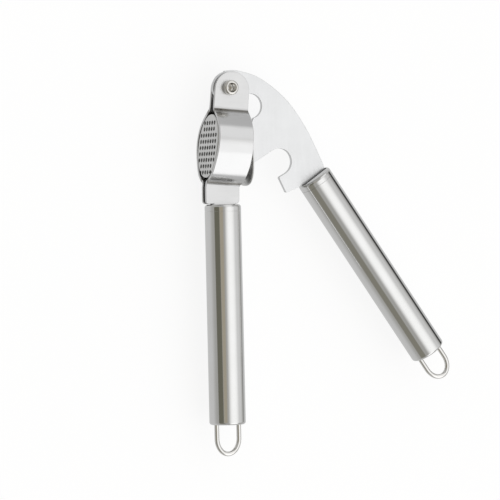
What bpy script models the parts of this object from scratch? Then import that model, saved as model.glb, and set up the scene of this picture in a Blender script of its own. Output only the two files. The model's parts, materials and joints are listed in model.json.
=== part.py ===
"""Tube-handled garlic press, lying on its side as on a worktop.

+X runs across the press from the basket towards the open lever, +Y runs from the
hang loops towards the pivot, +Z is the pivot's axis and points up from the worktop.
The origin is the middle of the bottom of the whole press.
Outlines are written in millimetres from the pivot's axis; mm() turns them into metres.
"""
import math

import bmesh
import bpy
from mathutils import Matrix, Vector

# Driving dimensions, metres unless the name says otherwise
PIVOT = (-0.05775, 0.09141, 0.0159)
GAP = 0.0003
ROUND_STEPS = 48

CUTTER_DEPTH = 0.0400

STRIP_THICKNESS = 0.0015
STRIP_BLANK_WIDTH = 0.0500
EAR_OUTER_Z = 0.0032
NECK_OUTER_Z = 0.0029
CUP_HALF_WIDTH = 0.0159
BEND_TILT_DEG = -3.4
TILT_CENTRE = (-0.0015, -0.0300)

LEVER_THICKNESS = 0.0022
RIVET_SHANK_RADIUS = 0.0026
RIVET_BORE_RADIUS = 0.0024
RIVET_COLLAR_RADIUS = 0.0038
RIVET_COLLAR_TOP = 0.0069
RIVET_BORE_FLOOR = 0.0010
RIVET_HEAD_RADIUS = 0.0042
RIVET_HEAD_THICKNESS = 0.0012
RIVET_EDGE = 0.0004

HANDLE_LENGTH = 0.1148
TUBE_RADIUS = 0.0095
TUBE_WALL = 0.0010
TUBE_FOOT_EDGE = 0.0014
TUBE_LIP = 0.0008
TUBE_LIP_HEIGHT = 0.0010
TUBE_LIP_TAPER = 0.0012
COLLAR_HEIGHT = 0.0036
COLLAR_EDGE = 0.0016
COLLAR_MOUTH_RADIUS = 0.0078
COLLAR_MOUTH_DEPTH = 0.0030
COLLAR_SPIGOT = 0.0090
END_CAP_THICKNESS = 0.0018
END_CAP_SEAT = 0.0024
TANG_HALF_WIDTH = 0.0060
LEVER_TANG_HALF_WIDTH = 0.0075
TANG_LENGTH = 0.0140
LOWER_HANDLE_TOP = (-0.00267, -0.0607)
LOWER_LEAN_DEG = 1.4
RELIEF_START = 0.0005
RELIEF_END = 0.0120
RELIEF_HALF_THICKNESS = 0.0016
RELIEF_DEPTH = 0.0062
UPPER_HANDLE_TOP = (0.0490, -0.0458)
UPPER_LEAN_DEG = 35.9
LOOP_WIRE_RADIUS = 0.0013
LOOP_HALF_WIDTH = 0.0062
LOOP_DROP = 0.0154
LOOP_BEND_STRETCH = 1.3
LOOP_LEG_INSIDE = 0.0060

SIEVE_PITCH = 0.00324
SIEVE_HOLE_RADIUS = 0.00112
SIEVE_CUTTER_DEPTH = 0.0060
SIEVE_TILT_DEG = 5.71
SIEVE_CENTRE = (-0.01164, -0.0312)
SIEVE_HALF_WIDTH = 0.0112
SIEVE_HALF_HEIGHT = 0.0175
SIEVE_SPAN = 4
MOUTH_SLOPE = -0.09
RIM_EXPONENT = 2.6

PLUNGER_PIN = (0.0110, -0.0280)
PLUNGER_LEAN_DEG = 9.3
PLUNGER_HALF_WIDTH = 0.0120
PLUNGER_HALF_HEIGHT = 0.01395
PLUNGER_CENTRE = -0.00195
PLUNGER_BACK = -0.0040
PLUNGER_THICKNESS = 0.0012
LUG_THICKNESS = 0.0011
LUG_RADIUS = 0.0024
LUG_FOOT = 0.0008
LUG_FOOT_REACH = 0.0040
PIN_RADIUS = 0.0012
PIN_HEAD_RADIUS = 0.0018
PIN_HEAD_HEIGHT = 0.0006
PIN_HEAD_EDGE = 0.0003

STEEL = {
    "satin_steel": ((0.80, 0.80, 0.79), 0.32, 1.0),
    "polished_steel": ((0.72, 0.71, 0.69), 0.12, 1.0),
    "sieve_steel": ((0.66, 0.66, 0.65), 0.28, 1.0),
    "wire_steel": ((0.78, 0.77, 0.75), 0.10, 1.0),
}


# Helpers

def mm(points):
    """Millimetre pairs to metres."""
    return [(x * 0.001, y * 0.001) for x, y in points]


def arc(centre, radius, start_deg, end_deg, steps):
    """Points of a circular arc, both ends included."""
    points = []
    for i in range(steps + 1):
        angle = math.radians(start_deg + (end_deg - start_deg) * i / steps)
        points.append((centre[0] + radius * math.cos(angle), centre[1] + radius * math.sin(angle)))
    return points


def smooth_line(points, steps):
    """Catmull-Rom curve through the points, in the plane."""
    padded = [points[0]] + list(points) + [points[-1]]
    line = []
    for i in range(1, len(padded) - 2):
        a, b, c, d = [Vector(p) for p in padded[i - 1:i + 3]]
        for j in range(steps):
            t = j / steps
            point = 0.5 * (2 * b + (c - a) * t + (2 * a - 5 * b + 4 * c - d) * t ** 2
                           + (3 * b - a - 3 * c + d) * t ** 3)
            line.append((point.x, point.y))
    line.append(tuple(points[-1]))
    return line


def oval(half_x, half_y, low_exponent, steps):
    """An ellipse whose lower half grows squarer as low_exponent rises above 2."""
    points = []
    for i in range(steps):
        angle = 2 * math.pi * i / steps
        c, s = math.cos(angle), math.sin(angle)
        power = 1 if s > 0 else 2 / low_exponent
        points.append((half_x * math.copysign(abs(c) ** power, c),
                       half_y * math.copysign(abs(s) ** power, s)))
    return points


def make_material(name):
    colour, roughness, metallic = STEEL[name]
    material = bpy.data.materials.new(name)
    material.use_nodes = True
    shader = material.node_tree.nodes["Principled BSDF"]
    shader.inputs["Base Color"].default_value = (*colour, 1.0)
    shader.inputs["Roughness"].default_value = roughness
    shader.inputs["Metallic"].default_value = metallic
    return material


def make_empty(name, parent, location, lean_deg=0.0, tip_deg=0.0):
    """An axis to hang parts on: tipped about X first, then leaned about Z."""
    empty = bpy.data.objects.new(name, None)
    empty.location = location
    empty.rotation_euler = (math.radians(tip_deg), 0, math.radians(lean_deg))
    empty.parent = parent
    PARTS.objects.link(empty)
    return empty


def finish(obj, parent, material, smooth_deg=40):
    """Parent a part, give it its material and smooth its round faces."""
    obj.parent = parent
    obj.data.materials.clear()
    obj.data.materials.append(MATERIALS[material])
    obj.data.shade_smooth()
    obj.data.set_sharp_from_angle(angle=math.radians(smooth_deg))
    return obj


def move_to(collection, obj):
    for old in list(obj.users_collection):
        old.objects.unlink(obj)
    collection.objects.link(obj)


def cut(target, cutter, operation="DIFFERENCE"):
    """Boolean with a cutter that shares the target's parent."""
    cutter.parent = target.parent
    move_to(CUTTERS, cutter)
    cutter.hide_render = True
    cutter.display_type = "WIRE"
    modifier = target.modifiers.new(operation.lower(), "BOOLEAN")
    modifier.operation = operation
    modifier.object = cutter
    modifier.solver = "EXACT"


def mesh_object(name, mesh):
    obj = bpy.data.objects.new(name, mesh)
    PARTS.objects.link(obj)
    return obj


def from_curve(name, curve_object, matrix=Matrix.Identity(4)):
    """Turn a curve object into a closed mesh object and remove the curve."""
    PARTS.objects.link(curve_object)
    bpy.context.view_layer.update()
    depsgraph = bpy.context.evaluated_depsgraph_get()
    mesh = bpy.data.meshes.new_from_object(curve_object.evaluated_get(depsgraph))
    shape = bmesh.new()
    shape.from_mesh(mesh)
    bmesh.ops.remove_doubles(shape, verts=shape.verts, dist=1e-6)
    bmesh.ops.transform(shape, matrix=matrix, verts=shape.verts)
    bmesh.ops.recalc_face_normals(shape, faces=shape.faces)
    shape.to_mesh(mesh)
    shape.free()
    bpy.data.objects.remove(curve_object)
    mesh.name = name
    return mesh_object(name, mesh)


def flat_plate(name, outline, thickness, matrix=Matrix.Identity(4)):
    """A filled outline, half the thickness to each side of its plane."""
    curve = bpy.data.curves.new(name, "CURVE")
    curve.dimensions = "2D"
    curve.fill_mode = "BOTH"
    curve.extrude = thickness / 2
    spline = curve.splines.new("POLY")
    spline.points.add(len(outline) - 1)
    for point, (x, y) in zip(spline.points, outline):
        point.co = (x, y, 0, 1)
    spline.use_cyclic_u = True
    return from_curve(name, bpy.data.objects.new(name + "_outline", curve), matrix)


def wire(name, points, radius):
    """A round wire along a list of 3-D points."""
    curve = bpy.data.curves.new(name, "CURVE")
    curve.dimensions = "3D"
    curve.bevel_depth = radius
    curve.bevel_resolution = 3
    curve.use_fill_caps = True
    spline = curve.splines.new("POLY")
    spline.points.add(len(points) - 1)
    for point, co in zip(spline.points, points):
        point.co = (*co, 1)
    return from_curve(name, bpy.data.objects.new(name + "_path", curve))


def turned(name, profile, steps=ROUND_STEPS):
    """A profile turned about local Z: open where it starts on the axis, else a closed ring."""
    on_axis = profile[0][0] == 0
    edges = [(i, (i + 1) % len(profile)) for i in range(len(profile) - on_axis)]
    mesh = bpy.data.meshes.new(name)
    mesh.from_pydata([(r, 0, z) for r, z in profile], edges, [])
    obj = mesh_object(name, mesh)
    modifier = obj.modifiers.new("screw", "SCREW")
    modifier.axis = "Z"
    modifier.steps = steps
    modifier.render_steps = steps
    modifier.use_merge_vertices = True
    modifier.merge_threshold = 0.00001
    return obj


def bore_cutter(name, radius, location=(0, 0, 0), vertices=ROUND_STEPS):
    bpy.ops.mesh.primitive_cylinder_add(vertices=vertices, radius=radius, depth=CUTTER_DEPTH,
                                        location=location)
    bpy.context.object.name = name
    return bpy.context.object


def box_cutter(name, low, high):
    bpy.ops.mesh.primitive_cube_add(size=1)
    obj = bpy.context.object
    obj.name = name
    centre = [(a + b) / 2 for a, b in zip(low, high)]
    size = [b - a for a, b in zip(low, high)]
    obj.data.transform(Matrix.Translation(centre) @ Matrix.Diagonal((*size, 1)))
    return obj


def loft(name, rings):
    """Skin a list of equal rings of 3-D points and cap the first and the last."""
    shape = bmesh.new()
    rows = [[shape.verts.new(point) for point in ring] for ring in rings]
    count = len(rows[0])
    for lower, upper in zip(rows, rows[1:]):
        for i in range(count):
            j = (i + 1) % count
            shape.faces.new((lower[i], lower[j], upper[j], upper[i]))
    shape.faces.new(rows[0][::-1])
    shape.faces.new(rows[-1])
    bmesh.ops.recalc_face_normals(shape, faces=shape.faces)
    mesh = bpy.data.meshes.new(name)
    shape.to_mesh(mesh)
    shape.free()
    return mesh_object(name, mesh)


# Frame: two bent strips that make the ears, the cup's wall, the neck and the tang

def strip_section():
    """Side view of the front strip as (along the press, out from its mid plane)."""
    ear_z, neck_z = EAR_OUTER_Z * 1000, NECK_OUTER_Z * 1000
    bulge = smooth_line([(-10.2, ear_z), (-11.6, ear_z + 0.8), (-14.1, 7.3), (-17.5, 11.0), (-21.2, 13.8),
                         (-25.2, 15.4), (-29.4, CUP_HALF_WIDTH * 1000), (-33.5, 15.4), (-37.2, 14.2),
                         (-41.0, 12.6), (-44.3, 10.9), (-47.0, 8.7), (-49.0, 6.0),
                         (-50.2, neck_z + 0.8), (-51.0, neck_z)], 3)
    outer = [(12.0, ear_z)] + bulge + [(-80.0, neck_z)]
    inner = []
    for i, (y, z) in enumerate(outer):
        before = Vector(outer[max(i - 1, 0)])
        after = Vector(outer[min(i + 1, len(outer) - 1)])
        along = (after - before).normalized()
        inner.append((y - along.y * STRIP_THICKNESS * 1000, z + along.x * STRIP_THICKNESS * 1000))
    return mm(outer + inner[::-1])


def strip_plan():
    """Plan of a frame strip: round ear, sloping sides, neck and narrow tang."""
    ear = arc((0.95, -0.6), 9.15, 0, 180, 20)
    lean = math.tan(math.radians(LOWER_LEAN_DEG))
    handle_x, handle_y = LOWER_HANDLE_TOP[0] * 1000, LOWER_HANDLE_TOP[1] * 1000
    tang = TANG_HALF_WIDTH * 1000
    tang_end = -TANG_LENGTH * 1000
    left = [(-8.9, -9.6), (-12.9, -49.0), (-13.3, -52.0)]
    left_corner = arc((-11.5, handle_y + 1.8), 1.7, 180, 270, 5)
    right_corner = arc((3.9, handle_y + 2.15), 1.7, -90, 0, 5)
    right = [(5.6, -52.0), (6.35, -49.6), (9.35, -9.6)]
    foot = [(handle_x - tang, handle_y + 0.15), (handle_x - tang - lean * tang_end, handle_y + tang_end),
            (handle_x + tang - lean * tang_end, handle_y + tang_end), (handle_x + tang, handle_y + 0.45)]
    return mm(ear + left + left_corner + foot + right_corner + right)


def build_frame_half(name, side):
    """side is 1 for the strip on top as the press lies, -1 for the one below."""
    centre = Matrix.Translation((*TILT_CENTRE, 0))
    tilt = centre @ Matrix.Rotation(math.radians(BEND_TILT_DEG), 4, "Z") @ centre.inverted()
    stand = Matrix(((0, 0, 1, TILT_CENTRE[0]), (1, 0, 0, 0), (0, side, 0, 0), (0, 0, 0, 1)))
    half = flat_plate(name, strip_section(), STRIP_BLANK_WIDTH, tilt @ stand)
    finish(half, FRAME, "satin_steel")
    cut(half, flat_plate(name + "_plan_cutter", strip_plan(), CUTTER_DEPTH), "INTERSECT")
    cut(half, bore_cutter(name + "_hole_cutter", RIVET_SHANK_RADIUS + GAP))


def build_rivet():
    """Hollow pivot rivet: a raised collar in front, a flat peened head behind."""
    front = EAR_OUTER_Z + GAP
    back = -front
    top = RIVET_COLLAR_TOP
    bottom = back - RIVET_HEAD_THICKNESS
    bore, collar, head = RIVET_BORE_RADIUS, RIVET_COLLAR_RADIUS, RIVET_HEAD_RADIUS
    profile = [(0, RIVET_BORE_FLOOR), (bore, RIVET_BORE_FLOOR), (bore, top - RIVET_EDGE),
               (bore + RIVET_EDGE, top), (collar - RIVET_EDGE, top), (collar, top - RIVET_EDGE),
               (collar, front), (RIVET_SHANK_RADIUS, front), (RIVET_SHANK_RADIUS, back), (head, back),
               (head, bottom + RIVET_EDGE), (head - 2 * RIVET_EDGE, bottom), (0, bottom)]
    finish(turned("pivot_rivet", profile, 32), FRAME, "polished_steel")


# Basket: a drawn oval cup with a turned-out rim and a perforated floor

def basket_ring(x, slope, centre_y, half_width, half_height, low_exponent=2.0):
    """Oval in a plane that leans by slope; x is where that plane crosses y = -29."""
    ring = []
    for z, y in mm(oval(half_width, half_height, low_exponent, ROUND_STEPS)):
        y += centre_y * 0.001
        ring.append((x * 0.001 + slope * (y + 0.029), y, z))
    return ring


def sieve_hole_places():
    """Square grid kept inside an oval, as (out from the mid plane, up the sieve)."""
    places = []
    steps = range(-SIEVE_SPAN, SIEVE_SPAN + 1)
    for row in steps:
        for column in steps:
            z, v = column * SIEVE_PITCH, row * SIEVE_PITCH
            if (z / SIEVE_HALF_WIDTH) ** 2 + (v / SIEVE_HALF_HEIGHT) ** 2 < 1:
                places.append((z, v))
    return places


def sieve_hole_cutters():
    """Short round bars square to the leaning floor, joined in one cutter."""
    tilt = math.radians(SIEVE_TILT_DEG)
    facing = Matrix.Rotation(-tilt, 4, "Z") @ Matrix.Rotation(math.pi / 2, 4, "Y")
    up = Vector((math.sin(tilt), math.cos(tilt), 0))
    shape = bmesh.new()
    for z, v in sieve_hole_places():
        centre = Vector((*SIEVE_CENTRE, z)) + up * v
        bmesh.ops.create_cone(shape, cap_ends=True, segments=12, radius1=SIEVE_HOLE_RADIUS,
                              radius2=SIEVE_HOLE_RADIUS, depth=SIEVE_CUTTER_DEPTH,
                              matrix=Matrix.Translation(centre) @ facing)
    mesh = bpy.data.meshes.new("sieve_hole_cutters")
    shape.to_mesh(mesh)
    shape.free()
    return mesh_object("sieve_hole_cutters", mesh)


def build_basket():
    """Rings run up the outside from the floor, round the rim and down the inside."""
    floor_slope = math.tan(math.radians(SIEVE_TILT_DEG))
    rings = [basket_ring(-11.0, floor_slope, -30.4, 12.7, 16.1),
             basket_ring(-10.5, floor_slope, -30.4, 13.3, 16.7),
             basket_ring(7.7, MOUTH_SLOPE, -30.9, 13.2, 16.7),
             basket_ring(7.7, MOUTH_SLOPE, -32.5, 14.0, 18.5, RIM_EXPONENT),
             basket_ring(8.7, MOUTH_SLOPE, -32.5, 14.0, 18.5, RIM_EXPONENT),
             basket_ring(8.7, MOUTH_SLOPE, -30.9, 12.7, 16.3),
             basket_ring(8.1, MOUTH_SLOPE, -30.9, 12.6, 16.1),
             basket_ring(-10.2, floor_slope, -30.4, 12.6, 16.0)]
    basket = finish(loft("sieve_basket", rings), FRAME, "sieve_steel")
    cut(basket, sieve_hole_cutters())


# Handles: tube, slotted top collar, end cap and hang loop

def tube_profile():
    """Round-edged foot with a short turned-in lip that holds the end cap."""
    inner = TUBE_RADIUS - TUBE_WALL
    top = -COLLAR_HEIGHT - GAP
    bottom = -HANDLE_LENGTH
    foot = arc((TUBE_RADIUS - TUBE_FOOT_EDGE, bottom + TUBE_FOOT_EDGE), TUBE_FOOT_EDGE, 0, -90, 5)
    lip_top = bottom + TUBE_LIP_HEIGHT
    return [(TUBE_RADIUS, top)] + foot + [(inner - TUBE_LIP, bottom), (inner - TUBE_LIP, lip_top),
                                          (inner, lip_top + TUBE_LIP_TAPER), (inner, top)]


def collar_profile():
    """Round-shouldered ring on the tube's top, open above a plug that stands in the tube."""
    spigot = TUBE_RADIUS - TUBE_WALL - GAP
    shoulder = arc((TUBE_RADIUS - COLLAR_EDGE, -COLLAR_EDGE), COLLAR_EDGE, 90, 0, 5)
    mouth = [(0, -COLLAR_MOUTH_DEPTH), (COLLAR_MOUTH_RADIUS, -COLLAR_MOUTH_DEPTH), (COLLAR_MOUTH_RADIUS, 0)]
    return mouth + shoulder + [(TUBE_RADIUS, -COLLAR_HEIGHT), (spigot, -COLLAR_HEIGHT),
                               (spigot, -COLLAR_SPIGOT), (0, -COLLAR_SPIGOT)]


def end_cap_profile():
    """A plug that rests on the tube's lip and nearly fills its throat."""
    seat_bottom = -HANDLE_LENGTH + END_CAP_SEAT
    top = seat_bottom + END_CAP_THICKNESS
    bottom = -HANDLE_LENGTH + GAP
    seat = TUBE_RADIUS - TUBE_WALL - GAP
    throat = seat - TUBE_LIP
    return [(0, top), (seat, top), (seat, seat_bottom), (throat, bottom + TUBE_LIP_HEIGHT),
            (throat, bottom + GAP), (throat - GAP, bottom), (0, bottom)]


def loop_path():
    """Two straight legs and a round end, in the handle's own XZ plane."""
    leg_top = -HANDLE_LENGTH + LOOP_LEG_INSIDE
    centre_z = -HANDLE_LENGTH - LOOP_DROP + LOOP_HALF_WIDTH * LOOP_BEND_STRETCH
    bend = [(x, centre_z + z * LOOP_BEND_STRETCH) for x, z in arc((0, 0), LOOP_HALF_WIDTH, 0, -180, 18)]
    right = [(LOOP_HALF_WIDTH, leg_top), (LOOP_HALF_WIDTH, -HANDLE_LENGTH)]
    left = [(-x, z) for x, z in reversed(right)]
    return [(x, 0, z) for x, z in right + bend + left]


def build_handle(prefix, body, top, lean_deg, slot_half_width, slot_thickness):
    """Every piece is made with its top centre at the origin and local Z along the handle."""
    axis = make_empty(prefix + "_axis", body, (*top, 0), lean_deg, -90)
    tube = finish(turned(prefix + "_tube", tube_profile()), axis, "polished_steel")
    collar = finish(turned(prefix + "_collar", collar_profile()), axis, "polished_steel")
    corner = Vector((slot_half_width, slot_thickness / 2, CUTTER_DEPTH / 2))
    cut(collar, box_cutter(prefix + "_slot_cutter", -corner, corner))
    cap = finish(turned(prefix + "_end_cap", end_cap_profile()), axis, "polished_steel")
    for side in (-1, 1):
        place = (side * LOOP_HALF_WIDTH, 0, -HANDLE_LENGTH)
        cut(cap, bore_cutter(prefix + "_loop_hole_cutter", LOOP_WIRE_RADIUS + GAP, place, 16))
    finish(wire(prefix + "_hang_loop", loop_path(), LOOP_WIRE_RADIUS), axis, "wire_steel")
    return tube, collar


def build_lower_handle():
    """Its collar and tube are relieved on one side for the closed lever's lower tip."""
    strips = 2 * (NECK_OUTER_Z + GAP)
    tube, collar = build_handle("lower_handle", FRAME, LOWER_HANDLE_TOP, LOWER_LEAN_DEG,
                                TANG_HALF_WIDTH + GAP, strips)
    for piece in (tube, collar):
        low = (RELIEF_START, -RELIEF_HALF_THICKNESS, -RELIEF_DEPTH)
        high = (RELIEF_END, RELIEF_HALF_THICKNESS, COLLAR_HEIGHT)
        cut(piece, box_cutter(piece.name + "_relief_cutter", low, high))


# Lever: flat plate with the two notches that clear the basket's rim, and its handle

def lever_outline():
    back = smooth_line([(-2.0, 8.9), (5.5, 9.1), (18.4, 5.2), (33.4, -5.9), (45.0, -21.4), (54.4, -39.4)], 7)
    tang = LEVER_TANG_HALF_WIDTH * 1000
    lean = math.radians(UPPER_LEAN_DEG)
    down = Vector((math.sin(lean), -math.cos(lean)))
    across = Vector((math.cos(lean), math.sin(lean)))
    top = Vector(UPPER_HANDLE_TOP) * 1000
    foot = [tuple(top + across * side * tang + down * drop * 1000)
            for side, drop in ((1, -0.0005), (1, TANG_LENGTH), (-1, TANG_LENGTH), (-1, -0.0005))]
    hook = [(41.3, -51.0), (33.3, -54.3), (32.7, -54.0), (28.9, -46.7), (29.2, -46.0), (32.4, -44.3)]
    lower_notch = arc((29.0, -38.1), 7.0, -61, 121, 16)
    tongue = [(13.7, -39.5), (13.2, -39.0)]
    pin_end = arc((11.0, -28.0), 2.3, 235, 120, 6)
    upper_notch = arc((12.5, -9.2), 6.5, -74, 104, 14)
    pivot_end = arc((0, 0), 8.6, -20, -255, 20)
    return mm(back + foot + hook + lower_notch + tongue + pin_end + upper_notch + pivot_end)


def build_lever():
    plate = finish(flat_plate("lever_plate", lever_outline(), LEVER_THICKNESS), LEVER, "satin_steel")
    cut(plate, bore_cutter("lever_pivot_cutter", RIVET_SHANK_RADIUS + GAP))
    cut(plate, bore_cutter("lever_pin_cutter", PIN_RADIUS + GAP, (*PLUNGER_PIN, 0), 24))
    build_handle("upper_handle", LEVER, UPPER_HANDLE_TOP, UPPER_LEAN_DEG,
                 LEVER_TANG_HALF_WIDTH + GAP, LEVER_THICKNESS + 2 * GAP)


# Plunger: oval pressing plate, clevis lugs and the pin that joins it to the lever

def build_plunger_plate():
    """Local X points out of the basket, local Y up the press, with the pin at the origin."""
    outline = [(z, v + PLUNGER_CENTRE)
               for z, v in oval(PLUNGER_HALF_WIDTH, PLUNGER_HALF_HEIGHT, 2.0, ROUND_STEPS)]
    middle = PLUNGER_BACK - PLUNGER_THICKNESS / 2
    stand = Matrix(((0, 0, 1, middle), (0, 1, 0, 0), (-1, 0, 0, 0), (0, 0, 0, 1)))
    finish(flat_plate("plunger_plate", outline, PLUNGER_THICKNESS, stand), PLUNGER, "satin_steel")


def build_lug(name, side):
    root = PLUNGER_BACK + GAP
    foot = [(root + LUG_FOOT, LUG_FOOT_REACH), (root, LUG_FOOT_REACH),
            (root, -LUG_FOOT_REACH), (root + LUG_FOOT, -LUG_FOOT_REACH)]
    outline = arc((0, 0), LUG_RADIUS, -75, 75, 8) + foot
    middle = side * (LEVER_THICKNESS / 2 + GAP + LUG_THICKNESS / 2)
    lug = flat_plate(name, outline, LUG_THICKNESS, Matrix.Translation((0, 0, middle)))
    finish(lug, PLUNGER, "satin_steel")
    cut(lug, bore_cutter(name + "_cutter", PIN_RADIUS + GAP, vertices=24))


def build_plunger_pin():
    """A plain pin with a low head outside each lug; it stays with the lever."""
    reach = LEVER_THICKNESS / 2 + LUG_THICKNESS + 2 * GAP
    top = reach + PIN_HEAD_HEIGHT
    head = [(0, top), (PIN_HEAD_RADIUS - PIN_HEAD_EDGE, top), (PIN_HEAD_RADIUS, top - PIN_HEAD_EDGE),
            (PIN_HEAD_RADIUS, reach), (PIN_RADIUS, reach)]
    profile = head + [(r, -z) for r, z in reversed(head)]
    pin = finish(turned("plunger_pin", profile, 24), LEVER, "polished_steel")
    pin.location = (*PLUNGER_PIN, 0)


# Build

for old in list(bpy.data.objects):
    bpy.data.objects.remove(old)
PARTS = bpy.data.collections.new("garlic_press")
CUTTERS = bpy.data.collections.new("cutters")
for group in (PARTS, CUTTERS):
    bpy.context.scene.collection.children.link(group)
MATERIALS = {name: make_material(name) for name in STEEL}
FRAME = make_empty("frame_origin", None, PIVOT)
LEVER = make_empty("lever_hinge", None, PIVOT)
PLUNGER = make_empty("plunger_hinge", LEVER, (*PLUNGER_PIN, 0), PLUNGER_LEAN_DEG)
build_frame_half("front_frame", 1)
build_frame_half("back_frame", -1)
build_rivet()
build_basket()
build_lower_handle()
build_lever()
build_plunger_plate()
build_lug("upper_plunger_lug", 1)
build_lug("lower_plunger_lug", -1)
build_plunger_pin()
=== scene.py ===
"""The garlic press's visible surfaces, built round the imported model.

Outlines are in millimetres from the pivot's axis, as the press lies on its side:
x from the basket towards the open lever, y from the hang loops towards the pivot,
z up along the pivot's axis. Each piece's mesh is made there and moved to the frame's pivot.
"""
import json
import math

import bmesh
import bpy
from mathutils import Matrix, Vector


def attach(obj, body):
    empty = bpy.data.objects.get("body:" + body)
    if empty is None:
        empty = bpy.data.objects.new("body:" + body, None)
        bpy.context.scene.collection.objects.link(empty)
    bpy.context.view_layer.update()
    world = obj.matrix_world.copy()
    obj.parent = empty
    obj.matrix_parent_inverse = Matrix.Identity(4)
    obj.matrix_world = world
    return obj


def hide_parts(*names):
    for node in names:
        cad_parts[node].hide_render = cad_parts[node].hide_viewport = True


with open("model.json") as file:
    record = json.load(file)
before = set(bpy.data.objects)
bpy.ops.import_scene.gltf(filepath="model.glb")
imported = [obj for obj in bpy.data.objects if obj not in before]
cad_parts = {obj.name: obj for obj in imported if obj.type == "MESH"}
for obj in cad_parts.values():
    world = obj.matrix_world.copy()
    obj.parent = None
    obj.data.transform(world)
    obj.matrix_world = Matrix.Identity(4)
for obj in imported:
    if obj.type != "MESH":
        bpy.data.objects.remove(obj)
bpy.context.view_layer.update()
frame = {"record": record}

MM = 0.001
HINGES = {joint["name"]: joint for joint in frame["record"]["behaviour"]["joints"]}
PIVOT = Vector(HINGES["lever_swing"]["pos_m"])
PIN = Vector(HINGES["plunger_tilt"]["pos_m"])
ROUND = 128

# Sheet steel, millimetres
STRIP = 1.5
EAR_Z = 3.2
NECK_Z = 2.9
CUP_Z = 15.9
BEND_TILT = math.tan(math.radians(3.4))
TILT_X = -1.5
PLATE = 2.2
SOFT_EDGE = 0.22
PIVOT_HOLE_R = 2.9
PIN_HOLE_R = 1.5

# Pivot rivet, millimetres
RIVET_TOP = 6.6
RIVET_R = 3.9
RIVET_BORE_R = 2.4
RIVET_SHANK_R = 2.6
RIVET_HEAD_R = 4.2
RIVET_ROUND = 1.1

# Handles, millimetres
HANDLE = 114.8
TUBE_R = 9.5
TUBE_FOOT = 1.4
WALL = 1.0
COLLAR = 3.6
SHOULDER = 1.55
SPIGOT_DROP = 9.0
CLEAR = 0.3
MOUTH = (7.8, 3.5, 7.0)
RELIEF = ((0.5, -1.6, -6.2), (12, 1.6, 4))
SEAM = 0.05
LOWER_TOP = Vector((-2.67, -60.7))
LOWER_LEAN = math.radians(1.4)
UPPER_TOP = Vector((49.0, -45.8))
UPPER_LEAN = math.radians(35.9)
STRIP_TANG = 6.0
LEVER_TANG = 7.5
TANG_DROP = 14.0
WIRE_R = 1.25
LOOP_R = 6.2
LOOP_DROP = 15.4
LOOP_STRETCH = 1.3
LOOP_INSIDE = 6.0

# Sieve and plunger, millimetres
SIEVE_PITCH = 3.24
SIEVE_SPAN = 4
SIEVE_HALF = (11.2, 17.5)
HOLE_R = 1.12
HOLE_CUT = 6
SIEVE_TILT = math.radians(5.71)
SIEVE_CENTRE = Vector((-11.64, -31.2, 0))
MOUTH_SLOPE = -0.09
PLUNGER_LEAN = math.radians(9.3)
PLUNGER_HALF = (12.0, 13.95)
PLUNGER_DROP = 1.95
PLUNGER_OFFSET = -4.6
PLUNGER_SHEET = 1.2
LUG_SHEET = 1.1
LUG_R = 2.4
LUG_SIDE = 1.95
PIN_R = 1.2
PIN_HEAD_R = 1.8
PIN_HEAD_H = 0.6
PIN_REACH = 2.8


# Outlines

def arc(centre, radius, start_deg, end_deg, steps):
    points = []
    for i in range(steps + 1):
        angle = math.radians(start_deg + (end_deg - start_deg) * i / steps)
        points.append((centre[0] + radius * math.cos(angle), centre[1] + radius * math.sin(angle)))
    return points


def smooth_line(points, steps):
    """Catmull-Rom curve through the points, in the plane."""
    padded = [points[0]] + list(points) + [points[-1]]
    line = []
    for i in range(1, len(padded) - 2):
        a, b, c, d = [Vector(p) for p in padded[i - 1:i + 3]]
        for j in range(steps):
            t = j / steps
            point = 0.5 * (2 * b + (c - a) * t + (2 * a - 5 * b + 4 * c - d) * t ** 2
                           + (3 * b - a - 3 * c + d) * t ** 3)
            line.append((point.x, point.y))
    line.append(tuple(points[-1]))
    return line


def oval(half_x, half_y, low_exponent=2.0, steps=ROUND):
    """An ellipse whose lower half grows squarer as low_exponent rises above 2."""
    points = []
    for i in range(steps):
        angle = 2 * math.pi * i / steps
        c, s = math.cos(angle), math.sin(angle)
        power = 1 if s > 0 else 2 / low_exponent
        points.append((half_x * math.copysign(abs(c) ** power, c),
                       half_y * math.copysign(abs(s) ** power, s)))
    return points


def circle(centre, radius, steps=64):
    return arc(centre, radius, 0, 360 - 360 / steps, steps - 1)


# Mesh tools

def new_object(name, mesh):
    obj = bpy.data.objects.new(name, mesh)
    bpy.context.scene.collection.objects.link(obj)
    return obj


def applied(obj):
    """The object with its modifiers made real."""
    bpy.context.view_layer.update()
    depsgraph = bpy.context.evaluated_depsgraph_get()
    mesh = bpy.data.meshes.new_from_object(obj.evaluated_get(depsgraph))
    obj.modifiers.clear()
    obj.data = mesh
    return obj


def blank(name, outline, thickness, edge=SOFT_EDGE, holes=()):
    """A flat plate with rounded edges, half its thickness to each side of z = 0."""
    curve = bpy.data.curves.new(name, "CURVE")
    curve.dimensions = "2D"
    curve.fill_mode = "BOTH"
    curve.extrude = thickness / 2 - edge
    curve.bevel_depth = edge
    curve.bevel_resolution = 2
    curve.offset = -edge
    for line in (outline, *holes):
        spline = curve.splines.new("POLY")
        spline.points.add(len(line) - 1)
        for point, (x, y) in zip(spline.points, line):
            point.co = (x, y, 0, 1)
        spline.use_cyclic_u = True
    source = bpy.data.objects.new(name + "_outline", curve)
    bpy.context.scene.collection.objects.link(source)
    bpy.context.view_layer.update()
    depsgraph = bpy.context.evaluated_depsgraph_get()
    mesh = bpy.data.meshes.new_from_object(source.evaluated_get(depsgraph))
    bpy.data.objects.remove(source)
    tidy(mesh, 1e-4)
    return new_object(name, mesh)


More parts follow.
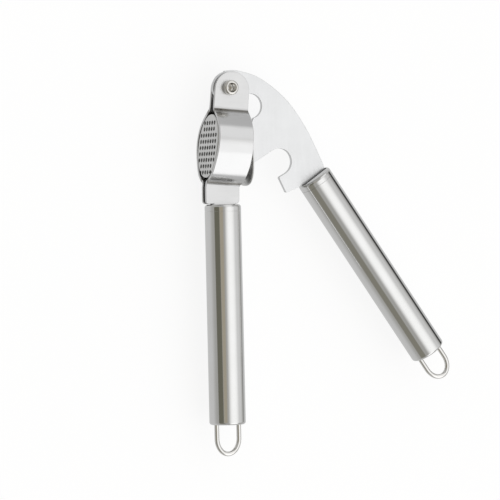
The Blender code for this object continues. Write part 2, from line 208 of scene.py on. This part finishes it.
def tidy(mesh, distance=1e-5):
    shape = bmesh.new()
    shape.from_mesh(mesh)
    bmesh.ops.remove_doubles(shape, verts=shape.verts, dist=distance)
    bmesh.ops.recalc_face_normals(shape, faces=shape.faces)
    shape.to_mesh(mesh)
    shape.free()


def turned(name, profile, steps=ROUND):
    """A profile turned about local Z; it may be closed or end on the axis at both ends."""
    closed = profile[0][0] > 0
    count = len(profile)
    edges = [(i, (i + 1) % count) for i in range(count if closed else count - 1)]
    mesh = bpy.data.meshes.new(name)
    mesh.from_pydata([(r, 0, z) for r, z in profile], edges, [])
    obj = new_object(name, mesh)
    modifier = obj.modifiers.new("screw", "SCREW")
    modifier.axis = "Z"
    modifier.steps = steps
    modifier.render_steps = steps
    modifier.use_merge_vertices = True
    modifier.merge_threshold = 0.0001
    applied(obj)
    tidy(obj.data, 1e-4)
    return obj


def loft(name, rings):
    shape = bmesh.new()
    rows = [[shape.verts.new(point) for point in ring] for ring in rings]
    count = len(rows[0])
    for lower, upper in zip(rows, rows[1:]):
        for i in range(count):
            j = (i + 1) % count
            shape.faces.new((lower[i], lower[j], upper[j], upper[i]))
    shape.faces.new(rows[0][::-1])
    shape.faces.new(rows[-1])
    bmesh.ops.recalc_face_normals(shape, faces=shape.faces)
    mesh = bpy.data.meshes.new(name)
    shape.to_mesh(mesh)
    shape.free()
    return new_object(name, mesh)


def round_bar(name, radius, depth, matrix=Matrix.Identity(4), segments=48):
    shape = bmesh.new()
    bmesh.ops.create_cone(shape, cap_ends=True, segments=segments, radius1=radius, radius2=radius,
                          depth=depth, matrix=matrix)
    mesh = bpy.data.meshes.new(name)
    shape.to_mesh(mesh)
    shape.free()
    return new_object(name, mesh)


def block(name, low, high):
    shape = bmesh.new()
    middle = (Vector(low) + Vector(high)) / 2
    size = Vector(high) - Vector(low)
    bmesh.ops.create_cube(shape, size=1, matrix=Matrix.Translation(middle) @ Matrix.Diagonal((*size, 1)))
    mesh = bpy.data.meshes.new(name)
    shape.to_mesh(mesh)
    shape.free()
    return new_object(name, mesh)


def cut(target, cutter):
    modifier = target.modifiers.new("cut", "BOOLEAN")
    modifier.operation = "DIFFERENCE"
    modifier.object = cutter
    modifier.solver = "EXACT"
    applied(target)
    bpy.data.objects.remove(cutter)


def soften(obj, width, angle_deg=40, segments=2):
    modifier = obj.modifiers.new("soften", "BEVEL")
    modifier.width = width
    modifier.segments = segments
    modifier.limit_method = "ANGLE"
    modifier.angle_limit = math.radians(angle_deg)
    applied(obj)


def place(obj, body, node, material, matrix=Matrix.Identity(4), origin=PIVOT, sharp_deg=32):
    """From millimetres about the pivot or pin to metres, then smooth shading, the body it moves with, and the
    imported part hidden.
    """
    obj.data.transform(Matrix.Translation(origin) @ Matrix.Scale(MM, 4) @ matrix)
    obj.data.materials.clear()
    obj.data.materials.append(material)
    obj.data.shade_smooth()
    obj.data.set_sharp_from_angle(angle=math.radians(sharp_deg))
    weighted = obj.modifiers.new("flat_faces", "WEIGHTED_NORMAL")
    weighted.keep_sharp = True
    weighted.weight = 80
    applied(obj)
    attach(obj, body)
    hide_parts(node)
    return obj


# Materials

class Nodes:
    """A small helper for writing a Principled material's node tree."""

    def __init__(self, name, colour, roughness, metallic=1.0):
        self.material = bpy.data.materials.new(name)
        self.material.use_nodes = True
        self.tree = self.material.node_tree
        self.shader = self.tree.nodes["Principled BSDF"]
        self.shader.inputs["Base Color"].default_value = (*colour, 1)
        self.shader.inputs["Roughness"].default_value = roughness
        self.shader.inputs["Metallic"].default_value = metallic

    def add(self, kind, inputs=(), **settings):
        node = self.tree.nodes.new(kind)
        for key, value in settings.items():
            setattr(node, key, value)
        for key, value in dict(inputs).items():
            if isinstance(value, bpy.types.NodeSocket):
                self.tree.links.new(value, node.inputs[key])
            else:
                node.inputs[key].default_value = value
        return node

    def stretched(self, scale, turn_deg=0.0):
        """Object coordinates scaled differently along each axis."""
        coords = self.add("ShaderNodeTexCoord")
        turned_space = self.add("ShaderNodeMapping", {"Vector": coords.outputs["Object"]})
        turned_space.inputs["Rotation"].default_value = (0, 0, math.radians(turn_deg))
        mapping = self.add("ShaderNodeMapping", {"Vector": turned_space.outputs[0]})
        mapping.inputs["Scale"].default_value = scale
        return mapping.outputs[0]

    def noise(self, vector, scale=1.0, detail=3.0, roughness=0.5):
        node = self.add("ShaderNodeTexNoise", {"Vector": vector, "Scale": scale, "Detail": detail,
                                               "Roughness": roughness})
        return node.outputs["Fac"]

    def span(self, value, low, high, from_low=0.3, from_high=0.7):
        node = self.add("ShaderNodeMapRange", {"Value": value, "From Min": from_low, "From Max": from_high,
                                               "To Min": low, "To Max": high})
        return node.outputs[0]

    def blend(self, factor, first, second):
        node = self.add("ShaderNodeMix", data_type="RGBA")
        self.tree.links.new(factor, node.inputs["Factor"])
        for socket, colour in ((node.inputs["A"], first), (node.inputs["B"], second)):
            if isinstance(colour, bpy.types.NodeSocket):
                self.tree.links.new(colour, socket)
            else:
                socket.default_value = (*colour, 1)
        return node.outputs["Result"]

    def maths(self, operation, first, second):
        node = self.add("ShaderNodeMath", {0: first, 1: second}, operation=operation)
        return node.outputs[0]

    def bump(self, height, strength, distance, after=None):
        node = self.add("ShaderNodeBump", {"Height": height, "Strength": strength, "Distance": distance})
        if after is not None:
            self.tree.links.new(after, node.inputs["Normal"])
        return node.outputs[0]

    def wire(self, output, socket):
        self.tree.links.new(output, self.shader.inputs[socket])


FLAT_END = (0.0036, 0.0080)
# Painted shade for the cup's creases: the heights from the mid plane where it fades in and out, and its dark
# colour
CREASE_SHADE_START = (0.0034, 0.0038)
CREASE_SHADE_END = (0.0044, 0.0062)
CREASE_SHADE_COLOUR = (0.26, 0.25, 0.23)


def steel(name, colour, tint, roughness, grain_scale, turn_deg=0.0, grain=0.02, flat_extra=0.0):
    """Stainless steel with drawn grain, cloudy polish and hairline scratches.

    flat_extra is added to the roughness near the mid plane, where the strips lie flat,
    and painted shade then darkens the base colour in the creases at both ends of the cup.
    """
    spread = 0.06
    n = Nodes(name, colour, roughness)
    fine = n.noise(n.stretched(grain_scale, turn_deg), 1.0, 4.0, 0.6)
    cloud = n.noise(n.stretched((90, 90, 90)), 1.0, 3.0)
    pits = n.noise(n.stretched((2600, 2600, 2600)), 1.0, 2.0)
    scratch_space = n.stretched((60, 2400, 2400), turn_deg + 24)
    scratches = n.span(n.noise(scratch_space, 1.0, 2.0), 0, 1, 0.70, 0.78)
    base = n.blend(n.span(cloud, 0, 1), colour, tint)
    uneven = n.maths("ADD", n.span(fine, roughness - spread / 2, roughness + spread / 2),
                     n.span(cloud, -spread / 4, spread / 4))
    if flat_extra:
        coords = n.add("ShaderNodeTexCoord")
        height = n.add("ShaderNodeSeparateXYZ", {"Vector": coords.outputs["Object"]}).outputs["Z"]
        height = n.maths("ABSOLUTE", n.maths("SUBTRACT", height, PIVOT.z), 0.0)
        uneven = n.maths("ADD", uneven, n.span(height, flat_extra, 0.0, *FLAT_END))
        # Painted shade: the base colour is darkened in the creases at both ends of the cup, where the bend
        # meets the flat ear and neck
        crease_shade = n.maths("MULTIPLY", n.span(height, 0, 1, *CREASE_SHADE_START), n.span(height, 1, 0, *CREASE_SHADE_END))
        base = n.blend(crease_shade, base, CREASE_SHADE_COLOUR)
    n.wire(base, "Base Color")
    n.wire(n.maths("ADD", uneven, n.maths("MULTIPLY", scratches, 0.06)), "Roughness")
    first = n.bump(fine, grain, 0.00005)
    second = n.bump(pits, grain * 0.5, 0.00002, first)
    n.wire(n.bump(scratches, 0.03, 0.00002, second), "Normal")
    return n.material


TUBE_FINISH = ((0.73, 0.73, 0.725), (0.71, 0.71, 0.70), 0.08, (3000, 50, 3000))
LOWER_GRAIN = -math.degrees(LOWER_LEAN)
UPPER_GRAIN = -math.degrees(UPPER_LEAN)
SATIN = steel("satin_sheet", (0.76, 0.765, 0.77), (0.74, 0.745, 0.75), 0.34, (900, 60, 900))
CUP = steel("cup_sheet", (0.69, 0.69, 0.69), (0.67, 0.67, 0.67), 0.16, (60, 900, 900), flat_extra=0.16)
TUBE_LOW = steel("lower_tube_polish", *TUBE_FINISH, LOWER_GRAIN)
TUBE_UP = steel("upper_tube_polish", *TUBE_FINISH, UPPER_GRAIN)
DRAWN = steel("drawn_basket", (0.74, 0.74, 0.73), (0.70, 0.70, 0.69), 0.38, (900, 900, 80))
WIRE = steel("bright_wire", (0.80, 0.79, 0.77), (0.76, 0.75, 0.73), 0.10, (900, 900, 900))
RIVET = steel("rivet_steel", (0.76, 0.75, 0.73), (0.68, 0.66, 0.62), 0.16, (900, 900, 900))
PRESS = steel("plunger_sheet", (0.72, 0.72, 0.71), (0.66, 0.66, 0.65), 0.26, (900, 900, 90))


# Frame strips: a flat blank is cut into cross bands and bent along the section

def section_line():
    """The strip's outer face seen from the side, from the ear's top down to the tang's end."""
    bulge = smooth_line([(-10.2, EAR_Z), (-11.6, EAR_Z + 0.8), (-14.1, 7.3), (-17.5, 11.0), (-21.2, 13.8),
                         (-25.2, 15.4), (-29.4, CUP_Z), (-33.5, 15.4), (-37.2, 14.2), (-41.0, 12.6),
                         (-44.3, 10.9), (-47.0, 8.7), (-49.0, 6.0), (-50.2, NECK_Z + 0.8),
                         (-51.0, NECK_Z)], 8)
    return [(12.0, EAR_Z)] + bulge + [(-80.0, NECK_Z)]


class Section:
    """Turns distance along the strip into a place and a normal, and the other way round."""

    def __init__(self):
        self.points = [Vector(p) for p in section_line()]
        self.lengths = [0.0]
        for a, b in zip(self.points, self.points[1:]):
            self.lengths.append(self.lengths[-1] + (b - a).length)
        self.normals = []
        for i in range(len(self.points)):
            before = self.points[max(i - 1, 0)]
            after = self.points[min(i + 1, len(self.points) - 1)]
            along = (after - before).normalized()
            self.normals.append(Vector((along.y, -along.x)))

    def length_at(self, y):
        for i in range(len(self.points) - 1):
            a, b = self.points[i].x, self.points[i + 1].x
            if b <= y <= a:
                return self.lengths[i] + (a - y) / (a - b) * (self.lengths[i + 1] - self.lengths[i])
        raise ValueError(y)

    def at(self, length):
        for i in range(len(self.points) - 1):
            if length <= self.lengths[i + 1] + 1e-6:
                t = (length - self.lengths[i]) / (self.lengths[i + 1] - self.lengths[i])
                point = self.points[i].lerp(self.points[i + 1], t)
                normal = self.normals[i].lerp(self.normals[i + 1], t).normalized()
                return point, normal
        return self.points[-1], self.normals[-1]


SECTION = Section()


def strip_plan():
    """Plan of a frame strip: round ear, sloping sides, neck and narrow tang."""
    lean = math.tan(LOWER_LEAN)
    top_x, top_y = LOWER_TOP
    ear = arc((1.40, -1.05), 9.6, 0, 180, 48)
    left = [(-8.9, -9.6), (-12.9, -49.0), (-13.3, -52.0)]
    left_corner = arc((-11.5, top_y + 1.8), 1.7, 180, 270, 8)
    foot = [(top_x - STRIP_TANG, top_y + 0.15), (top_x - STRIP_TANG + lean * TANG_DROP, top_y - TANG_DROP),
            (top_x + STRIP_TANG + lean * TANG_DROP, top_y - TANG_DROP), (top_x + STRIP_TANG, top_y + 0.45)]
    right_corner = arc((3.9, top_y + 2.15), 1.7, -90, 0, 8)
    right = [(5.6, -52.0), (6.35, -49.6)] + smooth_line(
        [(6.9, -44.4), (7.5, -41.2), (7.85, -35.8), (8.2, -27.8), (9.2, -19.5), (9.9, -15.0),
         (10.5, -9.6)], 6)
    return ear + left + left_corner + foot + right_corner + right


def finely(outline, step=1.0):
    """The outline with its long straight runs divided, so that they follow the bends."""
    points = []
    for a, b in zip(outline, outline[1:] + outline[:1]):
        a, b = Vector(a), Vector(b)
        count = max(1, round((b - a).length / step))
        points += [tuple(a.lerp(b, i / count)) for i in range(count)]
    return points


def to_blank(x, y):
    """From the plan of the bent strip to the flat blank that it is bent from."""
    return x, -SECTION.length_at(y + BEND_TILT * (x - TILT_X))


def build_strip(name, node, side):
    outline = [to_blank(x, y) for x, y in finely(strip_plan())]
    hole = [to_blank(x, y) for x, y in circle((0, 0), PIVOT_HOLE_R)]
    strip = blank(name, outline, STRIP, holes=(hole,))
    shape = bmesh.new()
    shape.from_mesh(strip.data)
    for length in SECTION.lengths[1:-1]:
        everything = shape.verts[:] + shape.edges[:] + shape.faces[:]
        bmesh.ops.bisect_plane(shape, geom=everything, plane_co=(0, -length, 0), plane_no=(0, 1, 0))
    for vertex in shape.verts:
        x, blank_y, height = vertex.co
        point, normal = SECTION.at(-blank_y)
        depth = height - STRIP / 2
        y = point.x + normal.x * depth - BEND_TILT * (x - TILT_X)
        vertex.co = (x, y, side * (point.y + normal.y * depth))
    bmesh.ops.recalc_face_normals(shape, faces=shape.faces)
    shape.to_mesh(strip.data)
    shape.free()
    return place(strip, "frame", node, CUP)


def build_rivet():
    """Raised hollow collar in front, flat peened head behind."""
    front, back = EAR_Z + CLEAR, -EAR_Z - CLEAR
    outer, bore, shank = RIVET_R, RIVET_BORE_R, RIVET_SHANK_R
    lip = arc((bore + 0.3, RIVET_TOP - 0.3), 0.3, 180, 90, 5)
    rim = arc((outer - RIVET_ROUND, RIVET_TOP - RIVET_ROUND), RIVET_ROUND, 90, 0, 10)
    head = arc((RIVET_HEAD_R - 0.5, back - 0.7), 0.5, 0, -90, 6)
    profile = ([(0, 1.3), (bore - 0.5, 1.1), (bore, 1.5)] + lip + rim
               + [(outer, front + 0.15), (outer - 0.15, front), (shank, front), (shank, back),
                  (RIVET_HEAD_R, back)]
               + head + [(2.0, back - 1.2), (1.6, back - 1.0), (0, back - 0.95)])
    rivet = turned("rivet_body", profile, 96)
    return place(rivet, "frame", "pivot_rivet", RIVET)


# Basket

def basket_ring(x, slope, centre_y, half_width, half_height, low_exponent=2.0):
    """Oval in a plane that leans by slope; x is where that plane crosses y = -29."""
    ring = []
    for z, y in oval(half_width, half_height, low_exponent):
        ring.append((x + slope * (y + centre_y + 29), y + centre_y, z))
    return ring


def rounded_rings(first, last, corner_at_first, steps=4):
    """Rings on a quarter round between two rings that differ in size and in place."""
    rings = []
    for i in range(1, steps):
        angle = math.pi / 2 * i / steps
        along, out = (1 - math.cos(angle), math.sin(angle)) if corner_at_first else (
            math.sin(angle), 1 - math.cos(angle))
        ring = []
        for a, b in zip(first, last):
            shares = (along, out, out)
            ring.append(tuple(start + (end - start) * share for start, end, share in zip(a, b, shares)))
        rings.append(ring)
    return rings


def sieve_hole_places():
    """Square grid kept inside an oval, as (out from the mid plane, up the sieve)."""
    places = []
    steps = range(-SIEVE_SPAN, SIEVE_SPAN + 1)
    for row in steps:
        for column in steps:
            z, v = column * SIEVE_PITCH, row * SIEVE_PITCH
            if (z / SIEVE_HALF[0]) ** 2 + (v / SIEVE_HALF[1]) ** 2 < 1:
                places.append((z, v))
    return places


def build_basket():
    lean = math.tan(SIEVE_TILT)
    floor = basket_ring(-11.0, lean, -30.4, 12.3, 15.7)
    wall = basket_ring(-10.0, lean, -30.4, 13.3, 16.7)
    throat = basket_ring(7.0, MOUTH_SLOPE, -30.9, 13.2, 16.7)
    flange_in = basket_ring(7.7, MOUTH_SLOPE, -31.6, 13.3, 17.0, 2.3)
    bead = [basket_ring(8.2 - 0.5 * math.cos(a), MOUTH_SLOPE, -32.5, 13.2 + 0.8 * math.sin(a),
                        17.7 + 0.8 * math.sin(a), 2.6) for a in [math.pi * i / 12 for i in range(13)]]
    mouth = basket_ring(8.7, MOUTH_SLOPE, -30.9, 13.0, 16.6)
    inner = basket_ring(8.1, MOUTH_SLOPE, -30.9, 12.6, 16.1)
    inner_floor_wall = basket_ring(-9.6, lean, -30.4, 12.6, 16.0)
    inner_floor = basket_ring(-10.2, lean, -30.4, 12.0, 15.4)
    rings = ([floor] + rounded_rings(floor, wall, True) + [wall, throat, flange_in] + bead
             + [mouth] + rounded_rings(mouth, inner, True) + [inner, inner_floor_wall]
             + rounded_rings(inner_floor_wall, inner_floor, False) + [inner_floor])
    basket = loft("basket_body", rings)
    up = Vector((math.sin(SIEVE_TILT), math.cos(SIEVE_TILT), 0))
    facing = Matrix.Rotation(-SIEVE_TILT, 4, "Z") @ Matrix.Rotation(math.pi / 2, 4, "Y")
    shape = bmesh.new()
    for z, v in sieve_hole_places():
        centre = SIEVE_CENTRE + up * v + Vector((0, 0, z))
        bmesh.ops.create_cone(shape, cap_ends=True, segments=28, radius1=HOLE_R, radius2=HOLE_R,
                              depth=HOLE_CUT, matrix=Matrix.Translation(centre) @ facing)
    mesh = bpy.data.meshes.new("sieve_holes")
    shape.to_mesh(mesh)
    shape.free()
    cut(basket, new_object("sieve_holes", mesh))
    return place(basket, "frame", "sieve_basket", DRAWN)


# Handles

def handle_matrix(top, lean):
    """From a handle's own frame, z up towards the pivot, to the press."""
    return (Matrix.Translation((top.x, top.y, 0)) @ Matrix.Rotation(lean, 4, "Z")
            @ Matrix.Rotation(-math.pi / 2, 4, "X"))


def tube_profile():
    inner, top, bottom = TUBE_R - WALL, -COLLAR - SEAM, -HANDLE
    shoulder = arc((TUBE_R - SEAM, top - SEAM), SEAM, 90, 0, 3)
    foot = arc((TUBE_R - TUBE_FOOT, bottom + TUBE_FOOT), TUBE_FOOT, 0, -90, 12)
    return shoulder + foot + [(inner - 0.6, bottom + 0.05), (inner - 0.8, bottom + 0.3),
                              (inner - 0.8, bottom + 1.0), (inner, bottom + 2.2), (inner, top)]


def collar_profile():
    """Flat top, round shoulder, short cylinder and a spigot in the tube."""
    spigot = TUBE_R - WALL - CLEAR
    shoulder = arc((TUBE_R - SHOULDER, -SHOULDER), SHOULDER, 90, 0, 14)
    foot = arc((TUBE_R - SEAM, -COLLAR + SEAM), SEAM, 0, -90, 3)
    return [(0, 0)] + shoulder + foot + [(spigot, -COLLAR), (spigot, -SPIGOT_DROP), (0, -SPIGOT_DROP)]


def end_cap_profile():
    top, bottom = -HANDLE + 4.2, -HANDLE + 0.3
    throat, seat = TUBE_R - WALL - 1.1, TUBE_R - WALL - 0.3
    return [(0, top), (seat, top), (seat, top - 1.8), (throat, bottom + 1.0), (throat, bottom + 0.3),
            (throat - 0.3, bottom), (0, bottom)]


def build_loop(prefix, body, matrix):
    centre_z = -HANDLE - LOOP_DROP + LOOP_R * LOOP_STRETCH
    bend = [(x, centre_z + z * LOOP_STRETCH) for x, z in arc((0, 0), LOOP_R, 0, -180, 48)]
    right = [(LOOP_R, -HANDLE + LOOP_INSIDE), (LOOP_R, -HANDLE), (LOOP_R, centre_z + 1.5)]
    path = right + bend + [(-x, z) for x, z in reversed(right)]
    curve = bpy.data.curves.new(prefix + "_wire", "CURVE")
    curve.dimensions = "3D"
    curve.bevel_depth = WIRE_R
    curve.bevel_resolution = 6
    curve.use_fill_caps = True
    spline = curve.splines.new("POLY")
    spline.points.add(len(path) - 1)
    for point, (x, z) in zip(spline.points, path):
        point.co = (x, 0, z, 1)
    source = bpy.data.objects.new(prefix + "_wire_path", curve)
    bpy.context.scene.collection.objects.link(source)
    bpy.context.view_layer.update()
    mesh = bpy.data.meshes.new_from_object(source.evaluated_get(bpy.context.evaluated_depsgraph_get()))
    bpy.data.objects.remove(source)
    tidy(mesh, 1e-4)
    loop = new_object(prefix + "_wire", mesh)
    return place(loop, body, prefix + "_hang_loop", WIRE, matrix)


def build_handle(prefix, body, top, lean, slot_half, slot_thickness, metal, relief=False):
    matrix = handle_matrix(top, lean)
    tube = turned(prefix + "_barrel", tube_profile())
    collar = turned(prefix + "_shoulder", collar_profile())
    corner = Vector((slot_half, slot_thickness / 2, 20))
    cut(collar, block("slot", -corner, corner))
    wide, tall, deep = MOUTH
    cut(collar, block("mouth", (-wide, -tall, -deep), (wide, tall, 20)))
    if relief:
        for piece in (tube, collar):
            cut(piece, block("relief", *RELIEF))
    soften(collar, 0.15)
    place(tube, body, prefix + "_tube", metal, matrix)
    place(collar, body, prefix + "_collar", metal, matrix)
    cap = turned(prefix + "_plug", end_cap_profile(), 96)
    for side in (-1, 1):
        hole = Matrix.Translation((side * LOOP_R, 0, -HANDLE))
        cut(cap, round_bar("loop_hole", WIRE_R + 0.2, 20, hole, 32))
    place(cap, body, prefix + "_end_cap", metal, matrix)
    build_loop(prefix, body, matrix)


# Lever plate

def lever_outline():
    back = smooth_line([(-2.0, 8.9), (5.5, 9.1), (18.4, 5.2), (33.4, -5.9), (45.0, -21.4), (54.4, -39.4)], 16)
    down = Vector((math.sin(UPPER_LEAN), -math.cos(UPPER_LEAN)))
    across = Vector((math.cos(UPPER_LEAN), math.sin(UPPER_LEAN)))
    foot = [tuple(UPPER_TOP + across * side * LEVER_TANG + down * drop)
            for side, drop in ((1, -0.5), (1, TANG_DROP), (-1, TANG_DROP), (-1, -0.5))]
    hook = [(41.3, -51.0), (33.3, -54.3), (32.7, -54.0), (28.9, -46.7), (29.2, -46.0), (32.4, -44.3)]
    lower_notch = arc((29.0, -38.1), 7.0, -61, 121, 48)
    tongue = [(13.7, -39.5), (13.2, -39.0)]
    pin_end = arc((11.0, -28.0), 2.3, 235, 120, 12)
    upper_notch = arc((12.5, -9.2), 6.5, -74, 104, 44)
    pivot_end = arc((0, 0), 8.6, -20, -255, 48)
    return back + foot + hook + lower_notch + tongue + pin_end + upper_notch + pivot_end


def build_lever():
    pin = PIN - PIVOT
    holes = (circle((0, 0), PIVOT_HOLE_R), circle((pin.x / MM, pin.y / MM), PIN_HOLE_R))
    plate = blank("lever_sheet", lever_outline(), PLATE, holes=holes)
    return place(plate, "lever", "lever_plate", SATIN)


# Plunger, in millimetres about its pin

def build_plunger():
    turn = Matrix.Rotation(PLUNGER_LEAN, 4, "Z")
    outline = [(z, v - PLUNGER_DROP) for z, v in oval(*PLUNGER_HALF)]
    stand = Matrix(((0, 0, 1, PLUNGER_OFFSET), (0, 1, 0, 0), (-1, 0, 0, 0), (0, 0, 0, 1)))
    plate = blank("plunger_disc", outline, PLUNGER_SHEET, 0.3)
    place(plate, "plunger", "plunger_plate", PRESS, turn @ stand, PIN)
    lug_outline = arc((0, 0), LUG_R, -75, 75, 24) + [(-2.9, 4.0), (-3.7, 4.0), (-3.7, -4.0), (-2.9, -4.0)]
    for name, node, side in (("upper_lug_sheet", "upper_plunger_lug", 1),
                             ("lower_lug_sheet", "lower_plunger_lug", -1)):
        lug = blank(name, lug_outline, LUG_SHEET, 0.15, holes=(circle((0, 0), PIN_HOLE_R),))
        shift = Matrix.Translation((0, 0, side * LUG_SIDE))
        place(lug, "plunger", node, PRESS, turn @ shift, PIN)
    half = PIN_HEAD_H / 2
    dome = arc((PIN_HEAD_R - half, PIN_REACH + half), half, 90, 0, 4)
    top_half = [(0, PIN_REACH + PIN_HEAD_H)] + dome + [(PIN_HEAD_R, PIN_REACH), (PIN_R, PIN_REACH)]
    pin = turned("plunger_pin_body", top_half + [(r, -z) for r, z in reversed(top_half)], 64)
    place(pin, "lever", "plunger_pin", RIVET, origin=PIN)


# Studio: pale floor, soft light from above and a long lens
FLOOR_GLOW = 0.845
CAMERA_SWING = math.radians(23.0)
CAMERA_DISTANCE = 1.8
CAMERA_WIDTH = 0.2615
VIEW_CENTRE = Vector((12.8, -84.5, 0))

def build_floor():
    """A pale sheet that glows softly, so it stays even and casts hardly any shade."""
    floor = block("floor_sheet", (-1.5, -1.5, -0.004), (1.5, 1.5, -0.0002))
    n = Nodes("pale_floor", (0.20, 0.20, 0.20), 0.6, 0.0)
    cloud = n.noise(n.stretched((3, 3, 3)), 1.0, 2.0)
    n.wire(n.blend(n.span(cloud, 0, 1), (0.200, 0.200, 0.200), (0.203, 0.203, 0.203)), "Base Color")
    n.shader.inputs["Emission Color"].default_value = (1, 1, 1, 1)
    n.shader.inputs["Emission Strength"].default_value = FLOOR_GLOW
    n.shader.inputs["Specular IOR Level"].default_value = 0.0
    floor.data.materials.append(n.material)
    floor.visible_glossy = False


# Each light or flag: direction, degrees of full tone, degrees where it ends, tone
STUDIO_BASE = (0.46, 0.455, 0.44)
STUDIO = [((0.00, 0.00, -1.00), 55, 94, (0.66, 0.66, 0.66)),
          ((-0.30, 0.00, -0.95), 20, 60, (0.68, 0.68, 0.68)),
          ((0.39, 0.91, 0.10), 14, 34, (0.60, 0.60, 0.60)),
          ((0.85, 0.00, 0.53), 5, 36, (0.78, 0.78, 0.78)),
          ((0.25, 0.68, 0.69), 18, 32, (1.02, 1.02, 1.02)),
          ((0.39, -0.91, 0.10), 10, 20, (0.62, 0.62, 0.62)),
          ((0.36, -0.22, 0.90), 4, 40, (1.26, 1.26, 1.26)),
          ((0.39, -0.72, 0.57), 16, 27, (1.42, 1.42, 1.42)),
          ((-0.545, 0.00, 0.84), 8, 14, (0.44, 0.40, 0.32)),
          ((-0.88, 0.00, 0.47), 15, 19, (0.17, 0.165, 0.13)),
          ((-0.77, -0.39, 0.45), 15, 19, (0.19, 0.185, 0.145)),
          ((-0.587, -0.707, 0.395), 15, 20, (0.27, 0.26, 0.22)),
          ((0.97, 0.10, -0.17), 6, 13, (0.32, 0.32, 0.31)),
          ((0.91, 0.38, -0.15), 8, 12, (0.06, 0.06, 0.06))]


def lobe(tree, direction, toward, near_deg, far_deg):
    """1 inside near_deg of a direction, falling smoothly to 0 at far_deg."""
    dot = tree.nodes.new("ShaderNodeVectorMath")
    dot.operation = "DOT_PRODUCT"
    tree.links.new(direction, dot.inputs[0])
    dot.inputs[1].default_value = Vector(toward).normalized()
    span = tree.nodes.new("ShaderNodeMapRange")
    span.interpolation_type = "SMOOTHSTEP"
    tree.links.new(dot.outputs["Value"], span.inputs["Value"])
    span.inputs["From Min"].default_value = math.cos(math.radians(far_deg))
    span.inputs["From Max"].default_value = math.cos(math.radians(near_deg))
    return span.outputs[0]


def build_light():
    """A studio sky: broad overhead softbox, side cards and dark flags, each laid over the last."""
    world = bpy.data.worlds.new("studio")
    bpy.context.scene.world = world
    world.use_nodes = True
    tree = world.node_tree
    direction = tree.nodes.new("ShaderNodeTexCoord").outputs["Generated"]
    below = None
    for toward, near, far, tone in STUDIO:
        mix = tree.nodes.new("ShaderNodeMix")
        mix.data_type = "RGBA"
        tree.links.new(lobe(tree, direction, toward, near, far), mix.inputs["Factor"])
        if below is None:
            mix.inputs["A"].default_value = (*STUDIO_BASE, 1)
        else:
            tree.links.new(below, mix.inputs["A"])
        mix.inputs["B"].default_value = (*tone, 1)
        below = mix.outputs["Result"]
    tree.links.new(below, tree.nodes["Background"].inputs["Color"])


def build_camera():
    """Looks down at the press from 23 degrees to the left of straight above."""
    toward = Vector((-math.sin(CAMERA_SWING), 0, math.cos(CAMERA_SWING)))
    right = Vector((math.cos(CAMERA_SWING), 0, math.sin(CAMERA_SWING)))
    up = Vector((0, 1, 0))
    target = PIVOT + VIEW_CENTRE * MM
    camera = bpy.data.objects.new("camera", bpy.data.cameras.new("camera"))
    bpy.context.scene.collection.objects.link(camera)
    camera.data.lens = camera.data.sensor_width * CAMERA_DISTANCE / CAMERA_WIDTH
    turn = Matrix((right, up, toward)).transposed().to_4x4()
    camera.matrix_world = Matrix.Translation(target + toward * CAMERA_DISTANCE) @ turn
    bpy.context.scene.camera = camera


build_camera()
build_light()
build_floor()
build_strip("front_strip", "front_frame", 1)
build_strip("back_strip", "back_frame", -1)
build_rivet()
build_basket()
build_handle("lower_handle", "frame", LOWER_TOP, LOWER_LEAN, STRIP_TANG + CLEAR, 2 * (NECK_Z + CLEAR),
             TUBE_LOW, True)
build_handle("upper_handle", "lever", UPPER_TOP, UPPER_LEAN, LEVER_TANG + CLEAR, PLATE + 2 * CLEAR, TUBE_UP)
build_lever()
build_plunger()
bpy.context.scene.view_settings.view_transform = "Standard"
